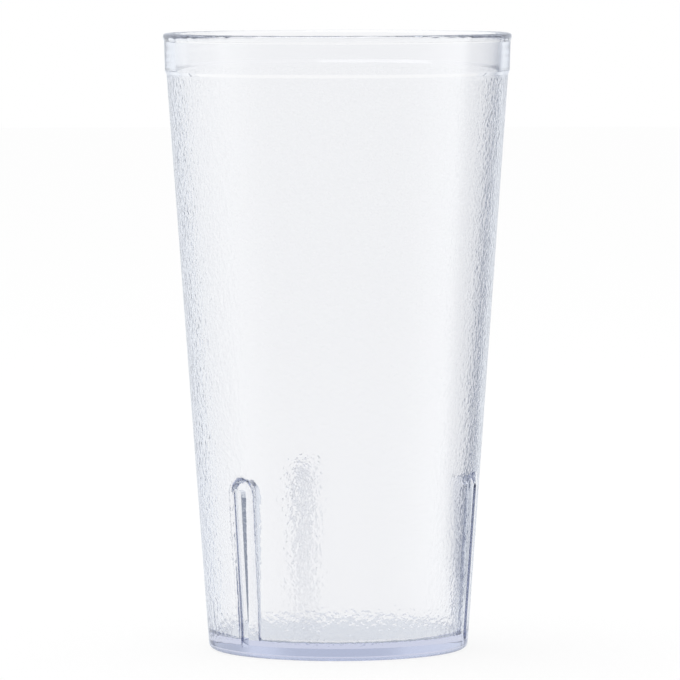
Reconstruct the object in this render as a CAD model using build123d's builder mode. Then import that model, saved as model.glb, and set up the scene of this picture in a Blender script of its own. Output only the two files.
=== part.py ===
from build123d import *
from math import radians, tan
import os

# A clear stacking tumbler for cold drinks, moulded in one piece of styrene plastic.
# Its wall is a plain cone, pebbled outside, under a smooth band that ends in a small lip bead.
# Low on the wall, three upright grooves are pressed in from outside. Each one stands up inside
# as a rib, and the foot of the next tumbler in a stack sits on the tops of the three ribs.
# Lengths are in millimetres. The origin is the centre of the foot, and +Z runs up to the rim.

# Overall form
height = 155.8
rim_diameter = 88.0
foot_diameter = 65.5  # where the cone of the wall meets the table
wall_thickness = 2.2  # measured level

# Smooth band and lip bead at the rim
band_height = 10.0
band_step = 0.35  # how far the band stands out from the pebbled wall
band_draft = 1.8  # degrees
bead_height = 2.0
bead_step = 0.25
bead_slope_height = 0.6
lip_crown = 0.65  # how far the middle of the lip stands above its two edges

# Floor and foot
floor_height = 4.4  # from the table to the inside floor
floor_bevel = 0.8
foot_round = 1.2
foot_ring_width = 3.0  # the flat ring that stands on the table
recess_depth = 0.7

# Stacking grooves outside, and the ribs that they make inside
groove_count = 3
groove_azimuth = -45.0  # degrees from the front, seen from above
groove_width = 2.5
groove_height = 42.4
groove_inset = 0.45  # from the foot's radius in to the groove's flat back
rib_wall = 2.1  # plastic beside and above a groove
rib_edge_round = 0.6

# Radii of the cone, worked out from the rim and the foot
foot_radius = foot_diameter / 2
rim_radius = rim_diameter / 2
band_bottom = height - band_height
bead_bottom = height - bead_height
band_top_radius = rim_radius - bead_step
band_bottom_radius = band_top_radius - (bead_bottom - band_bottom) * tan(radians(band_draft))
wall_top_radius = band_bottom_radius - band_step
taper = (wall_top_radius - foot_radius) / band_bottom


def inside_radius(z):
    """Radius of the plain inside cone at a height."""
    return foot_radius + taper * z - wall_thickness


# The groove's back and the rib's face both stand upright, a wall's thickness apart
groove_back_radius = foot_radius - groove_inset
rib_face_radius = groove_back_radius - wall_thickness


def upright_planes(radius):
    """One plane for each groove, facing outwards at a radius, with its own Y up."""
    turns = [groove_azimuth - 90 + turn * 360 / groove_count for turn in range(groove_count)]
    outwards = [Vector(1, 0, 0).rotate(Axis.Z, turn) for turn in turns]
    return [
        Plane(origin=out * radius, x_dir=Vector(0, 0, 1).cross(out), z_dir=out) for out in outwards
    ]


def upright_bars(radius, width, top, bottom):
    """One round-topped bar for each groove, with its flat face standing upright at a radius."""
    with BuildPart() as bars:
        with BuildSketch(*upright_planes(radius)):
            with Locations((0, top - width / 2)):
                Circle(width / 2)
                Rectangle(width, top - width / 2 - bottom, align=(Align.CENTER, Align.MAX))
        extrude(amount=rim_radius - radius)
    return bars.part


def distance_from_axis(face):
    """How far the middle of a face stands from the tumbler's axis."""
    middle = face.center()
    return Vector(middle.X, middle.Y).length


# The space inside: a smooth cone with three upright slots, where the ribs stand
rib_width = groove_width + 2 * rib_wall
rib_height = groove_height + rib_wall
core_top = height + wall_thickness

with BuildPart() as rib_slots:
    add(upright_bars(rib_face_radius, rib_width, rib_height, 0))
    rib_faces = rib_slots.faces().sort_by(distance_from_axis)[:groove_count]
    fillet(rib_faces.edges(), radius=rib_edge_round)

with BuildPart() as inside:
    with BuildSketch(Plane.XZ) as inside_section:
        with BuildLine():
            Polyline(
                (0, floor_height),
                (inside_radius(floor_height), floor_height),
                (inside_radius(core_top), core_top),
                (0, core_top),
                close=True,
            )
        make_face()
        floor_corner = inside_section.vertices().group_by(Axis.Y)[0].sort_by(Axis.X)[-1]
        chamfer(floor_corner, length=floor_bevel)
    revolve(axis=Axis.Z)
    add(rib_slots.part, mode=Mode.SUBTRACT)


# The tumbler: the outside form, less the grooves and the space inside
recess_radius = foot_radius - foot_round - foot_ring_width
lip_bottom = height - lip_crown
lip_inside_radius = inside_radius(lip_bottom)
lip_middle_radius = (rim_radius + lip_inside_radius) / 2

with BuildPart() as tumbler:
    with BuildSketch(Plane.XZ) as outside_section:
        with BuildLine():
            side = Polyline(
                (0, recess_depth),
                (recess_radius, recess_depth),
                (recess_radius + recess_depth, 0),
                (foot_radius, 0),
                (wall_top_radius, band_bottom),
                (band_bottom_radius, band_bottom),
                (band_top_radius, bead_bottom),
                (rim_radius, bead_bottom + bead_slope_height),
                (rim_radius, lip_bottom),
            )
            lip = ThreePointArc(side @ 1, (lip_middle_radius, height), (lip_inside_radius, lip_bottom))
            Polyline(lip @ 1, (0, lip_bottom), side @ 0)
        make_face()
        foot_corner = outside_section.vertices().group_by(Axis.Y)[0].sort_by(Axis.X)[-1]
        fillet(foot_corner, radius=foot_round)
    revolve(axis=Axis.Z)
    add(upright_bars(groove_back_radius, groove_width, groove_height, 0), mode=Mode.SUBTRACT)
    add(inside.part, mode=Mode.SUBTRACT)

tumbler.part.label = "tumbler"

os.makedirs("parts", exist_ok=True)
export_step(tumbler.part, "parts/tumbler.step")
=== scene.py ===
from math import asin, cos, hypot, pi, radians, sin, sqrt

import bmesh
import bpy
from mathutils import Matrix, Vector, noise


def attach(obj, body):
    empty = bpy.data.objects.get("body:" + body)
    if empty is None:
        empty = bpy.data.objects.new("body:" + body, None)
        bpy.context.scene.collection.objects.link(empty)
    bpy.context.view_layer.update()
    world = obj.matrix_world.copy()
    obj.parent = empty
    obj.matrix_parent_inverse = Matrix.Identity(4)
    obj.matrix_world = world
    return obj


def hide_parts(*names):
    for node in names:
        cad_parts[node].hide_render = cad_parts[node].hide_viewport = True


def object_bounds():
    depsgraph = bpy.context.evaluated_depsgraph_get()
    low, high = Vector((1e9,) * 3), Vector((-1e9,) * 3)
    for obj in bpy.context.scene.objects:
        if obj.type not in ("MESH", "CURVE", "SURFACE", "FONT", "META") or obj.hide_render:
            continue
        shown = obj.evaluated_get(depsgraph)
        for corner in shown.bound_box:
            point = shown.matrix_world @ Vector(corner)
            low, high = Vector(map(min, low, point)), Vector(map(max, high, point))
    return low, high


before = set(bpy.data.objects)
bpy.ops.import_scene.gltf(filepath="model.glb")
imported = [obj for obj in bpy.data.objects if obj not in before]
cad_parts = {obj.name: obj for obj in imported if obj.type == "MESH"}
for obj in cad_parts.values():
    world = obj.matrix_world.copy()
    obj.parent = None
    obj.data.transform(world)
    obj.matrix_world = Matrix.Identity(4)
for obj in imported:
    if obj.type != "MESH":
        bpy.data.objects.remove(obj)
cad_low, cad_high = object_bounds()

# The tumbler is moulded in one shot of clear styrene plastic. Its outline is a cone with a rounded
# foot, a smooth band that stands out a little near the top, and a small bead under the lip. These
# sizes are in millimetres, as on the moulder's drawing, and the height and width are the frame's.
height = cad_high.z * 1000
rim_radius = min(cad_high.x, cad_high.y, -cad_low.x, -cad_low.y) * 1000
foot_radius = 32.75  # where the cone of the wall meets the table
wall_thickness = 2.2
taper = 0.07132  # outwards for each millimetre of height
foot_round = 1.4
band_bottom = height - 10.0
floor_height = 4.4
floor_round = 1.0


def wall_radius(z, base_radius, bottom, corner):
    """Radius at a height of a leaning wall that rounds into a level bottom."""
    slant = hypot(1, taper)
    centre_z = bottom + corner
    if z > centre_z - corner * taper / slant:
        return base_radius + taper * z
    centre_radius = base_radius + taper * centre_z - corner * slant
    return centre_radius + sqrt(max(0, corner**2 - (centre_z - z) ** 2))


def outside_radius(z):
    return wall_radius(z, foot_radius, 0, foot_round)


def inside_radius(z):
    return wall_radius(z, foot_radius - wall_thickness, floor_height, floor_round)


def steps(start, end, pitch):
    """Even steps from start to end, each about as long as the pitch."""
    count = max(1, round(abs(end - start) / pitch))
    return [start + (end - start) * k / count for k in range(count + 1)]


# The outside of the cone is pebbled by the mould's etched wall. The larger, softer part of that
# relief is in the mesh, and fades out where the metal of the mould was left smooth. It is sunk a
# little, so that the tops of the pebbles stay close to the cone.
pebble_depth = 0.03
pebble_sink = 0.5
pebble_size = 2.4
pebbles_start = 3.6
pebbles_end = band_bottom - 0.6
pebble_fade = 0.7


def pebbled(z):
    """How much of the pebble relief there is at a height of the outside, from 0 to 1."""
    return max(0, min(1, (z - pebbles_start) / pebble_fade, (pebbles_end - z) / pebble_fade))


def outside_point(turn, z, share=1.0):
    """A point of the outside wall, with its share of the pebbles."""
    share = share * pebbled(z)
    radius = outside_radius(z)
    spot = Vector((radius * cos(turn), radius * sin(turn), z)) / pebble_size
    radius += (noise.noise(spot) - pebble_sink) * pebble_depth * share
    return radius * cos(turn), radius * sin(turn), z, share


def inside_point(turn, z, share=0.0):
    """A point of the polished inside wall, which never has a share of the pebbles."""
    return inside_radius(z) * cos(turn), inside_radius(z) * sin(turn), z, 0.0


# The skin is sewn from strips of four-sided faces, which are welded where they meet. One column
# of points stands at each degree of the wall, and each point knows its share of the pebbles.
column_pitch = radians(1)
outside_pitch = 0.9
inside_pitch = 2.0
shell = bmesh.new()
pebble_layer = shell.verts.layers.float.new("pebbled")


def skin(rows):
    """Adds the faces between rows of points, each row as long as the next."""
    grid = []
    for row in rows:
        corners = []
        for x, y, z, share in row:
            corner = shell.verts.new((x / 1000, y / 1000, z / 1000))
            corner[pebble_layer] = share
            corners.append(corner)
        grid.append(corners)
    for low, high in zip(grid, grid[1:]):
        for k in range(len(low) - 1):
            shell.faces.new((low[k], low[k + 1], high[k + 1], high[k]))


def ring(radius, z, turns):
    """A level row of smooth points."""
    return [(radius * cos(turn), radius * sin(turn), z, 0.0) for turn in turns]


# Three stacking grooves are pressed into the foot of the wall, each with an upright flat back and
# a round top. Inside, each groove's back stands out as a rib, whose top carries the next tumbler.
# A groove runs out just above the foot, and a rib runs down into the floor.
groove_turns = (radians(-135), radians(-15), radians(105))
groove_width = 2.5
groove_top = 42.4
groove_inset = 0.65  # from the foot's radius in to the groove's flat back
groove_back = foot_radius - groove_inset
groove_mouth = 0.2  # rounding where the wall turns into the groove's side
groove_corner = 0.3  # and where that side meets the flat back
groove_run_out = 2.8
rib_wall = 2.1  # plastic beside and above a groove
rib_width = groove_width + 2 * rib_wall
rib_top = groove_top + rib_wall
rib_face = groove_back - wall_thickness
rib_mouth = 1.4
rib_corner = 0.5
rib_run_out = 0.0
run_out_length = 2.5  # height over which a groove or rib deepens from nothing
full_depth = 0.8  # where a groove or rib is shallower than this, its roundings shrink with it
most_of_depth = 0.45  # and they never take more than this share of its depth
round_parts = 3
half_patch = radians(9.5)  # each groove and its surroundings take this much wall to each side
around_layers = 9
pebble_hold = 6  # the higher, the closer to a groove the pebbles keep their depth
outside_top = 46.5  # where the patches of wall round the grooves and ribs end
inside_top = 47.5
row_turn = radians(15)  # how far a rounded corner turns from one row to the next
least_rise = 0.03  # rows closer than this to another are left out
halvings = 40


def patch_turns(middle):
    """The columns of the patch of wall round one groove."""
    return [middle + turn for turn in steps(-half_patch, half_patch, column_pitch)]


def rounded_rows(bottom, corner, plane, radius_at):
    """Heights up a rounded corner, with one where an upright plane leaves it."""
    rows = [bottom + corner * (1 - cos(angle)) for angle in steps(0, pi / 2, row_turn)]
    low, high = bottom, bottom + corner
    for _ in range(halvings):
        middle = (low + high) / 2
        if radius_at(middle) < plane:
            low = middle
        else:
            high = middle
    return sorted([z for z in rows if abs(z - low) > least_rise] + [low])


def rows_beside(width, top, corner_rows, pitch, patch_top):
    """Heights beside a groove or rib: those up to its arch, and those on to the patch's top."""
    arch_z = top - width / 2
    straight = corner_rows + steps(corner_rows[-1], arch_z, pitch)[1:]
    return straight, steps(arch_z, patch_top, pitch)[1:]


def outline_stations(width, top, straight, side):
    """Stations up the left side of a groove or rib, over its arch and down its right side.

    Each has its place on the outline, the way out of the groove or rib there, and its partner on
    the edge of the patch.
    """
    half = width / 2
    arch_z = top - half
    edge = [(-half_patch, z) for z in side] + [(turn, side[-1]) for turn in patch_turns(0)[1:-1]]
    edge += [(half_patch, z) for z in reversed(side)]
    arch = []
    for k, partner in enumerate(edge):
        angle = pi - pi * (k + 1) / (len(edge) + 1)
        arch.append((half * cos(angle), arch_z + half * sin(angle), cos(angle), sin(angle), *partner))
    left = [(-half, z, -1, 0, -half_patch, z) for z in straight]
    right = [(half, z, 1, 0, half_patch, z) for z in reversed(straight)]
    return left + arch + right


def upright_bar(middle, point, radius_at, stations, plane, mouth, corner, run_out):
    """Skins the wall round one groove or rib, and the groove or rib itself."""
    out = Vector((cos(middle), sin(middle), 0))
    along = Vector((-sin(middle), cos(middle), 0))
    quarter = steps(0, pi / 2, pi / 2 / round_parts)
    columns = []
    for across, z, way_across, way_up, edge_turn, edge_z in stations:
        face = sqrt(radius_at(z) ** 2 - across**2)
        depth = max(0, face - plane) * max(0, min(1, (z - run_out) / run_out_length))
        reach = min(1, depth / full_depth)
        deepest = depth * most_of_depth
        column = []
        edge_across = radius_at(edge_z) * sin(edge_turn)
        for k in range(around_layers + 1):
            share = k / around_layers
            aside = edge_across * (1 - share) + (across + way_across * mouth * reach) * share
            up = edge_z * (1 - share) + (z + way_up * mouth * reach) * share
            turn = edge_turn if k == 0 else asin(aside / radius_at(up))
            column.append(point(middle + turn, up, 1 - share**pebble_hold))
        for angle in quarter[1:]:
            spread = mouth * reach * (1 - sin(angle))
            aside, up = across + way_across * spread, z + way_up * spread
            forward = sqrt(radius_at(up) ** 2 - aside**2) - min(mouth, deepest) * (1 - cos(angle))
            column.append((*(out * forward + along * aside).xy, up, 0.0))
        for angle in quarter:
            inward = corner * reach * (1 - cos(angle))
            aside, up = across - way_across * inward, z - way_up * inward
            forward = face - depth + min(corner, deepest) * (1 - sin(angle))
            column.append((*(out * forward + along * aside).xy, up, 0.0))
        columns.append(column)
    skin(columns)
    back = [column[-1] for column in columns]
    skin([[back[k], back[-1 - k]] for k in range(len(back) // 2 + 1)])
    return columns[0][: around_layers + 1] + columns[-1][around_layers::-1]


outside_rows = rounded_rows(0, foot_round, groove_back, outside_radius)
inside_rows = rounded_rows(floor_height, floor_round, rib_face, inside_radius)
groove_rows = rows_beside(groove_width, groove_top, outside_rows, outside_pitch, outside_top)
rib_rows = rows_beside(rib_width, rib_top, inside_rows, inside_pitch, inside_top)
groove_stations = outline_stations(groove_width, groove_top, *groove_rows)
rib_stations = outline_stations(rib_width, rib_top, *rib_rows)
outside_foot = []
inside_foot = []
for middle in groove_turns:
    groove_foot = upright_bar(
        middle, outside_point, outside_radius, groove_stations,
        groove_back, groove_mouth, groove_corner, groove_run_out,
    )
    rib_foot = upright_bar(
        middle, inside_point, inside_radius, rib_stations,
        rib_face, rib_mouth, rib_corner, rib_run_out,
    )
    outside_foot.append((patch_turns(middle), groove_foot))
    inside_foot.append((patch_turns(middle), rib_foot))

# Between the grooves the wall is plain, and above them it goes all the way round. The lip's inner
# edge is rounded more than its outer one, for the drinker's sake. Just under it the inside has a
# few closer rows, so that the long faces below them stay evenly shaded.
lip_crown = 0.6
lip_inside_crown = 1.5
lip_inside_bottom = height - lip_inside_crown
smooth_pitch = 12.0
rows_under_lip = (1.8, 1.0, 0.7, 0)
outside_low = [z for rows in groove_rows for z in rows]
inside_low = [z for rows in rib_rows for z in rows]
patch_to_patch = 2 * pi / len(groove_turns) - 2 * half_patch
for middle in groove_turns:
    patch_end = middle + half_patch
    turns = steps(patch_end, patch_end + patch_to_patch, column_pitch)
    outside_wall = [[outside_point(turn, z) for turn in turns] for z in outside_low]
    inside_wall = [[inside_point(turn, z) for turn in turns] for z in inside_low]
    skin(outside_wall)
    skin(inside_wall)
    outside_foot.append((turns, outside_wall[0]))
    inside_foot.append((turns, inside_wall[0]))

first_turn = groove_turns[0] + half_patch
full_turn = steps(first_turn, first_turn + 2 * pi, column_pitch)
outside_high = steps(outside_top, pebbles_end, outside_pitch)
inside_high = steps(inside_top, lip_inside_bottom - rows_under_lip[0], smooth_pitch)
inside_high += [lip_inside_bottom - below for below in rows_under_lip[1:]]
skin([[outside_point(turn, z) for turn in full_turn] for z in outside_high])
skin([[inside_point(turn, z) for turn in full_turn] for z in inside_high])

# The rim has a smooth band with a little draft, which comes out from the wall over a short slope,
# then a bead and a crowned lip, all with eased corners. The two halves of the mould meet along the
# lip, which is a little uneven there.
band_step = 0.35
band_slope = 0.9  # height over which the band comes out from the wall
bead_bottom = height - 2.0
bead_step = 0.25
bead_slope = 0.6
wall_ease = 0.05
band_ease = 0.12
bead_ease = 0.4
ease_parts = 4
most_of_edge = 0.45  # share of a straight edge that the curve at one of its ends may take
past_curve = 1.3  # a row this many times the curve's reach from the corner keeps the flats even
lip_parts = 15
lip_unevenness = 0.08
lip_swell_size = 2.2


def eased(corners):
    """An outline with each corner's sharp turn spread over a short curve of its own reach."""
    outline = [corners[0][:2]]
    for (x0, y0, _), (x1, y1, ease), (x2, y2, _) in zip(corners, corners[1:], corners[2:]):
        before, after = Vector((x0 - x1, y0 - y1)), Vector((x2 - x1, y2 - y1))
        reach = min(ease, before.length * most_of_edge, after.length * most_of_edge)
        start, corner, end = before.normalized() * reach, Vector((x1, y1)), after.normalized() * reach
        outline.append(tuple(corner + start * past_curve))
        for share in steps(0, 1, 1 / ease_parts):
            outline.append(tuple(corner + start * (1 - share) ** 2 + end * share**2))
        outline.append(tuple(corner + end * past_curve))
    return outline + [corners[-1][:2]]


def lip_point(radius, z, turn, unevenness):
    """A point of the lip, which swells and sinks a little along its length."""
    spot = Vector((radius * cos(turn), radius * sin(turn), z)) / lip_swell_size
    swell = unevenness * noise.noise(spot)
    radius = min(rim_radius, radius + swell)
    return radius * cos(turn), radius * sin(turn), z - abs(swell), 0.0


slope_bottom = band_bottom - band_slope / 2
band_outline = eased([
    (outside_radius(pebbles_end), pebbles_end, 0),
    (outside_radius(slope_bottom), slope_bottom, wall_ease),
    (outside_radius(band_bottom) + band_step, band_bottom + band_slope / 2, band_ease),
    (rim_radius - bead_step, bead_bottom, bead_ease),
    (rim_radius, bead_bottom + bead_slope, bead_ease),
    (rim_radius, height - lip_crown, 0),
])
skin([ring(radius, z, full_turn) for radius, z in band_outline])
lip_inside = inside_radius(lip_inside_bottom)
lip_half = (rim_radius - lip_inside) / 2
lip_rows = []
for k, angle in enumerate(steps(0, pi, pi / lip_parts)):
    crown = lip_crown if angle < pi / 2 else lip_inside_crown
    radius = lip_inside + lip_half * (1 + cos(angle))
    z = height - crown * (1 - sin(angle))
    unevenness = lip_unevenness if 0 < k < lip_parts else 0
    lip_rows.append([lip_point(radius, z, turn, unevenness) for turn in full_turn])
skin(lip_rows)

# The floor inside is flat. Underneath, the tumbler stands on a flat ring round a shallow recess.
# With these two the skin is whole, so it is welded and becomes the tumbler.
recess_depth = 1.0
foot_ring_width = 3.0
recess_radius = foot_radius - foot_round - foot_ring_width
to_middle = (0.6, 0.2, 0)
foot_outline = [(recess_radius + recess_depth, 0), (recess_radius, recess_depth)]
foot_outline += [(recess_radius * share, recess_depth) for share in to_middle]
floor_outline = [(recess_radius * share, floor_height) for share in (1, *to_middle)]
for turns, edge in outside_foot:
    skin([edge] + [ring(radius, z, turns) for radius, z in foot_outline])
for turns, edge in inside_foot:
    skin([edge] + [ring(radius, z, turns) for radius, z in floor_outline])

weld = 2e-6
sharp_turn = radians(40)
bmesh.ops.remove_doubles(shell, verts=shell.verts, dist=weld)
bmesh.ops.recalc_face_normals(shell, faces=shell.faces)
tumbler_mesh = bpy.data.meshes.new("clear_tumbler")
shell.to_mesh(tumbler_mesh)
shell.free()
tumbler_mesh.shade_smooth()
tumbler_mesh.set_sharp_from_angle(angle=sharp_turn)
tumbler = bpy.data.objects.new("clear_tumbler", tumbler_mesh)
bpy.context.scene.collection.objects.link(tumbler)


class Wire:
    """A socket of a node tree, which sums and products of shader values can be written with."""

    def __init__(self, tree, socket=None):
        self.tree = tree
        self.socket = socket

    def node(self, kind, settings=None, sockets=None, output=0):
        """Adds a node with its settings, then the values or wires of its sockets."""
        made = self.tree.nodes.new(kind)
        for name, value in (settings or {}).items():
            setattr(made, name, value)
        for name, value in (sockets or {}).items():
            if isinstance(value, Wire):
                self.tree.links.new(value.socket, made.inputs[name])
            else:
                made.inputs[name].default_value = value
        return Wire(self.tree, made.outputs[output] if made.outputs else None)

    def maths(self, operation, *values):
        return self.node("ShaderNodeMath", {"operation": operation}, dict(enumerate(values)))

    def __add__(self, other):
        return self.maths("ADD", self, other)

    def __radd__(self, other):
        return self.maths("ADD", other, self)

    def __sub__(self, other):
        return self.maths("SUBTRACT", self, other)

    def __rsub__(self, other):
        return self.maths("SUBTRACT", other, self)

    def __mul__(self, other):
        return self.maths("MULTIPLY", self, other)

    def __rmul__(self, other):
        return self.maths("MULTIPLY", other, self)

    def __truediv__(self, other):
        return self.maths("DIVIDE", self, other)

    def __rtruediv__(self, other):
        return self.maths("DIVIDE", other, self)


# Clear styrene is stiff and glossy, bends light a little more than window glass, and shows a faint
# lavender where a long way through it is seen, as along the floor and in the rim. The pebbles are
# low domes a little over a millimetre wide, and their skin is a little less polished.
dome_size = 0.0012
dome_height = 0.00014
polish = 0.02
pebble_frosting = 0.11
plastic = bpy.data.materials.new("clear_styrene")
plastic.use_nodes = True
plastic.node_tree.nodes.clear()
wire = Wire(plastic.node_tree)
place = wire.node("ShaderNodeTexCoord", output="Object")
share = wire.node("ShaderNodeAttribute", {"attribute_name": "pebbled"}, output="Fac")
dome_sockets = {"Vector": place, "Scale": 1 / dome_size, "Detail": 1.0, "Roughness": 0.5}
domes = wire.node("ShaderNodeTexNoise", None, dome_sockets, output="Fac")
relief_sockets = {"Strength": 1.0, "Distance": dome_height, "Height": domes * share}
relief = wire.node("ShaderNodeBump", None, relief_sockets)
surface_sockets = {
    "Base Color": (1.0, 1.0, 1.0, 1.0),
    "Roughness": polish + share * pebble_frosting,
    "IOR": 1.57,
    "Transmission Weight": 1.0,
    "Normal": relief,
}
surface = wire.node("ShaderNodeBsdfPrincipled", None, surface_sockets)
lavender = {"Color": (0.526, 0.5745, 0.783, 1.0), "Density": 15.0}
body = wire.node("ShaderNodeVolumeAbsorption", None, lavender)
wire.node("ShaderNodeOutputMaterial", None, {"Surface": surface, "Volume": body})
tumbler_mesh.materials.append(plastic)
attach(tumbler, "root")
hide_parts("tumbler")

# The studio is plain and pale. Seen straight on or through the clear wall, the floor and the room
# are white. In light that the plastic has mirrored, the floor and the room are painted dimmer in
# front and dark on one side, to the right of the back, as a painted reflection.
white = (1.0, 1.0, 1.0, 1.0)
painted_mirror_pale = (0.92, 0.955, 1.0, 1.0)
painted_mirror_dark = (0.05, 0.08, 0.16, 1.0)
dark_side_turn = radians(30)  # from the right towards the back
dark_side_edge = (0.88, 0.96)
front_edge = (-0.1, 0.8)
front_dimness = 0.5


def ramp(value, start, end):
    """From 0 to 1 as a value goes from start to end, with soft ends."""
    sockets = {"Value": value, "From Min": start, "From Max": end}
    return value.node("ShaderNodeMapRange", {"interpolation_type": "SMOOTHSTEP"}, sockets)


def blend(share, first, second):
    """One colour turning into another as a share goes from 0 to 1."""
    # The node's colour sockets go by their places, because their names repeat
    return share.node("ShaderNodeMix", {"data_type": "RGBA"}, {0: share, 6: first, 7: second}, output=2)


def compass(way):
    """How far a place or a direction lies out, and its shares of back and of the dark side."""
    across = way.node("ShaderNodeSeparateXYZ", None, {0: way}, output="X")
    onward = way.node("ShaderNodeSeparateXYZ", None, {0: way}, output="Y")
    away = way.maths("SQRT", across * across + onward * onward)
    dark_side = (across * cos(dark_side_turn) + onward * sin(dark_side_turn)) / away
    return away, onward / away, dark_side


def painted_mirror_colour(darkness):
    """White, except in light that the plastic has mirrored, where it is painted dimmer by the darkness.
    """
    mirrored = darkness.maths("MINIMUM", darkness.node("ShaderNodeLightPath", output="Glossy Depth"), 1.0)
    # Painted reflection: only mirrored light gets the pale blue tint and the painted dark.
    return blend(mirrored, white, blend(darkness, painted_mirror_pale, painted_mirror_dark))


# The floor is a wide sheet of plain pale paper, laid flat. The tumbler stands on it, and it keeps
# the tumbler's own soft shadow, because a part of it is lit like any other surface.
floor_reach = 4.0
floor_sides = 96
floor_drop = 0.00005  # just clear of the foot
floor_mesh = bpy.data.meshes.new("floor")
sheet = bmesh.new()
bmesh.ops.create_circle(sheet, cap_ends=True, radius=floor_reach, segments=floor_sides)
sheet.to_mesh(floor_mesh)
sheet.free()
floor = bpy.data.objects.new("floor", floor_mesh)
floor.location.z = -floor_drop
bpy.context.scene.collection.objects.link(floor)

paper_grey = (0.9, 0.9, 0.9, 1.0)
white_share = 0.85
dark_side_start = (0.08, 0.16)  # metres from the tumbler, where the dark side sets in
paper = bpy.data.materials.new("pale_floor")
paper.use_nodes = True
paper.node_tree.nodes.clear()
wire = Wire(paper.node_tree)
seen = wire.node("ShaderNodeLightPath", output="Is Camera Ray")
glossy = wire.node("ShaderNodeLightPath", output="Is Glossy Ray")
through = wire.node("ShaderNodeLightPath", output="Is Transmission Ray")
away, back, dark_side = compass(wire.node("ShaderNodeNewGeometry", output="Position"))
# Painted shade: in light that the plastic has mirrored, the paper's glow is painted dark on the dark side
# and dimmer in front.
painted_dark_side = ramp(dark_side, *dark_side_edge) * ramp(away, *dark_side_start)
front = ramp(0 - back, *front_edge) * front_dimness
glow_sockets = {"Color": painted_mirror_colour(wire.maths("MAXIMUM", painted_dark_side, front)), "Strength": 1.0}
glow = wire.node("ShaderNodeEmission", None, glow_sockets)
lit = wire.node("ShaderNodeBsdfDiffuse", None, {"Color": paper_grey})
direct = wire.maths("MAXIMUM", wire.maths("MAXIMUM", seen, glossy), through) * white_share
mix = wire.node("ShaderNodeMixShader", None, {0: direct, 1: lit, 2: glow})
wire.node("ShaderNodeOutputMaterial", None, {"Surface": mix})
paper.cycles.emission_sampling = "NONE"
floor_mesh.materials.append(paper)

# The room's light comes evenly from all round. What the plastic mirrors of it is painted dark on
# one side, dimmer in front and a little dimmer at the back too.
back_edge = (0.9, 0.98)
back_dimness = 0.2
dark_side_dimness = 0.3
room = bpy.data.worlds.new("studio")
bpy.context.scene.world = room
room.use_nodes = True
room.node_tree.nodes.clear()
wire = Wire(room.node_tree)
_, back, dark_side = compass(wire.node("ShaderNodeTexCoord", output="Generated"))
# Painted reflection: this darkness is seen only in light that the plastic has mirrored.
painted_dark_side = ramp(dark_side, *dark_side_edge) * dark_side_dimness
front = ramp(0 - back, *front_edge) * front_dimness
far = ramp(back, *back_edge) * back_dimness
darkness = wire.maths("MAXIMUM", painted_dark_side, wire.maths("MAXIMUM", front, far))
sky = wire.node("ShaderNodeBackground", None, {"Color": painted_mirror_colour(darkness), "Strength": 1.0})
wire.node("ShaderNodeOutputWorld", None, {"Surface": sky})

# One large round softbox hangs overhead, a little to the left and behind, and is aimed at the
# middle of the tumbler. Because it is so wide, its own shadows have soft edges.
lamp = bpy.data.lights.new("overhead_softbox", "AREA")
lamp.shape = "DISK"
lamp.size = 1.2
lamp.energy = 6.0
softbox = bpy.data.objects.new("overhead_softbox", lamp)
softbox.location = (-0.3, 0.2, 1.6)
lamp_aim = Vector((0, 0, 0.08))
softbox.rotation_euler = (lamp_aim - softbox.location).to_track_quat("-Z", "Y").to_euler()
bpy.context.scene.collection.objects.link(softbox)

# The camera stands where the photograph was taken from: about 1.6 m in front of the tumbler and a
# little above its rim, looking slightly down through a long lens.
camera_back = 1.60627
camera_height = 0.185146
camera_side = 0.0005465
aim_height = 0.078075
camera_roll = -0.0017
picture_side = 680
focal_pixels = 6357.46
camera_data = bpy.data.cameras.new("camera")
camera_data.sensor_width = 36.0
camera_data.lens = focal_pixels / picture_side * camera_data.sensor_width
camera_data.clip_start = 0.1
camera_data.clip_end = 50.0
camera = bpy.data.objects.new("camera", camera_data)
bpy.context.scene.collection.objects.link(camera)
eye = Vector((camera_side, -camera_back, camera_height))
aim = Vector((camera_side, 0, aim_height))
turn = (aim - eye).to_track_quat("-Z", "Y").to_matrix()
camera.matrix_world = Matrix.Translation(eye) @ (turn @ Matrix.Rotation(camera_roll, 3, "Z")).to_4x4()
bpy.context.scene.camera = camera

# Light passes or is mirrored by many surfaces of clear plastic before it gets out again, so its
# path may be long
most_bounces = 32
scene = bpy.context.scene
scene.view_settings.view_transform = "Standard"
scene.cycles.max_bounces = most_bounces
scene.cycles.transmission_bounces = most_bounces
scene.cycles.glossy_bounces = most_bounces

# The scene is brought up to date at the end
bpy.context.view_layer.update()
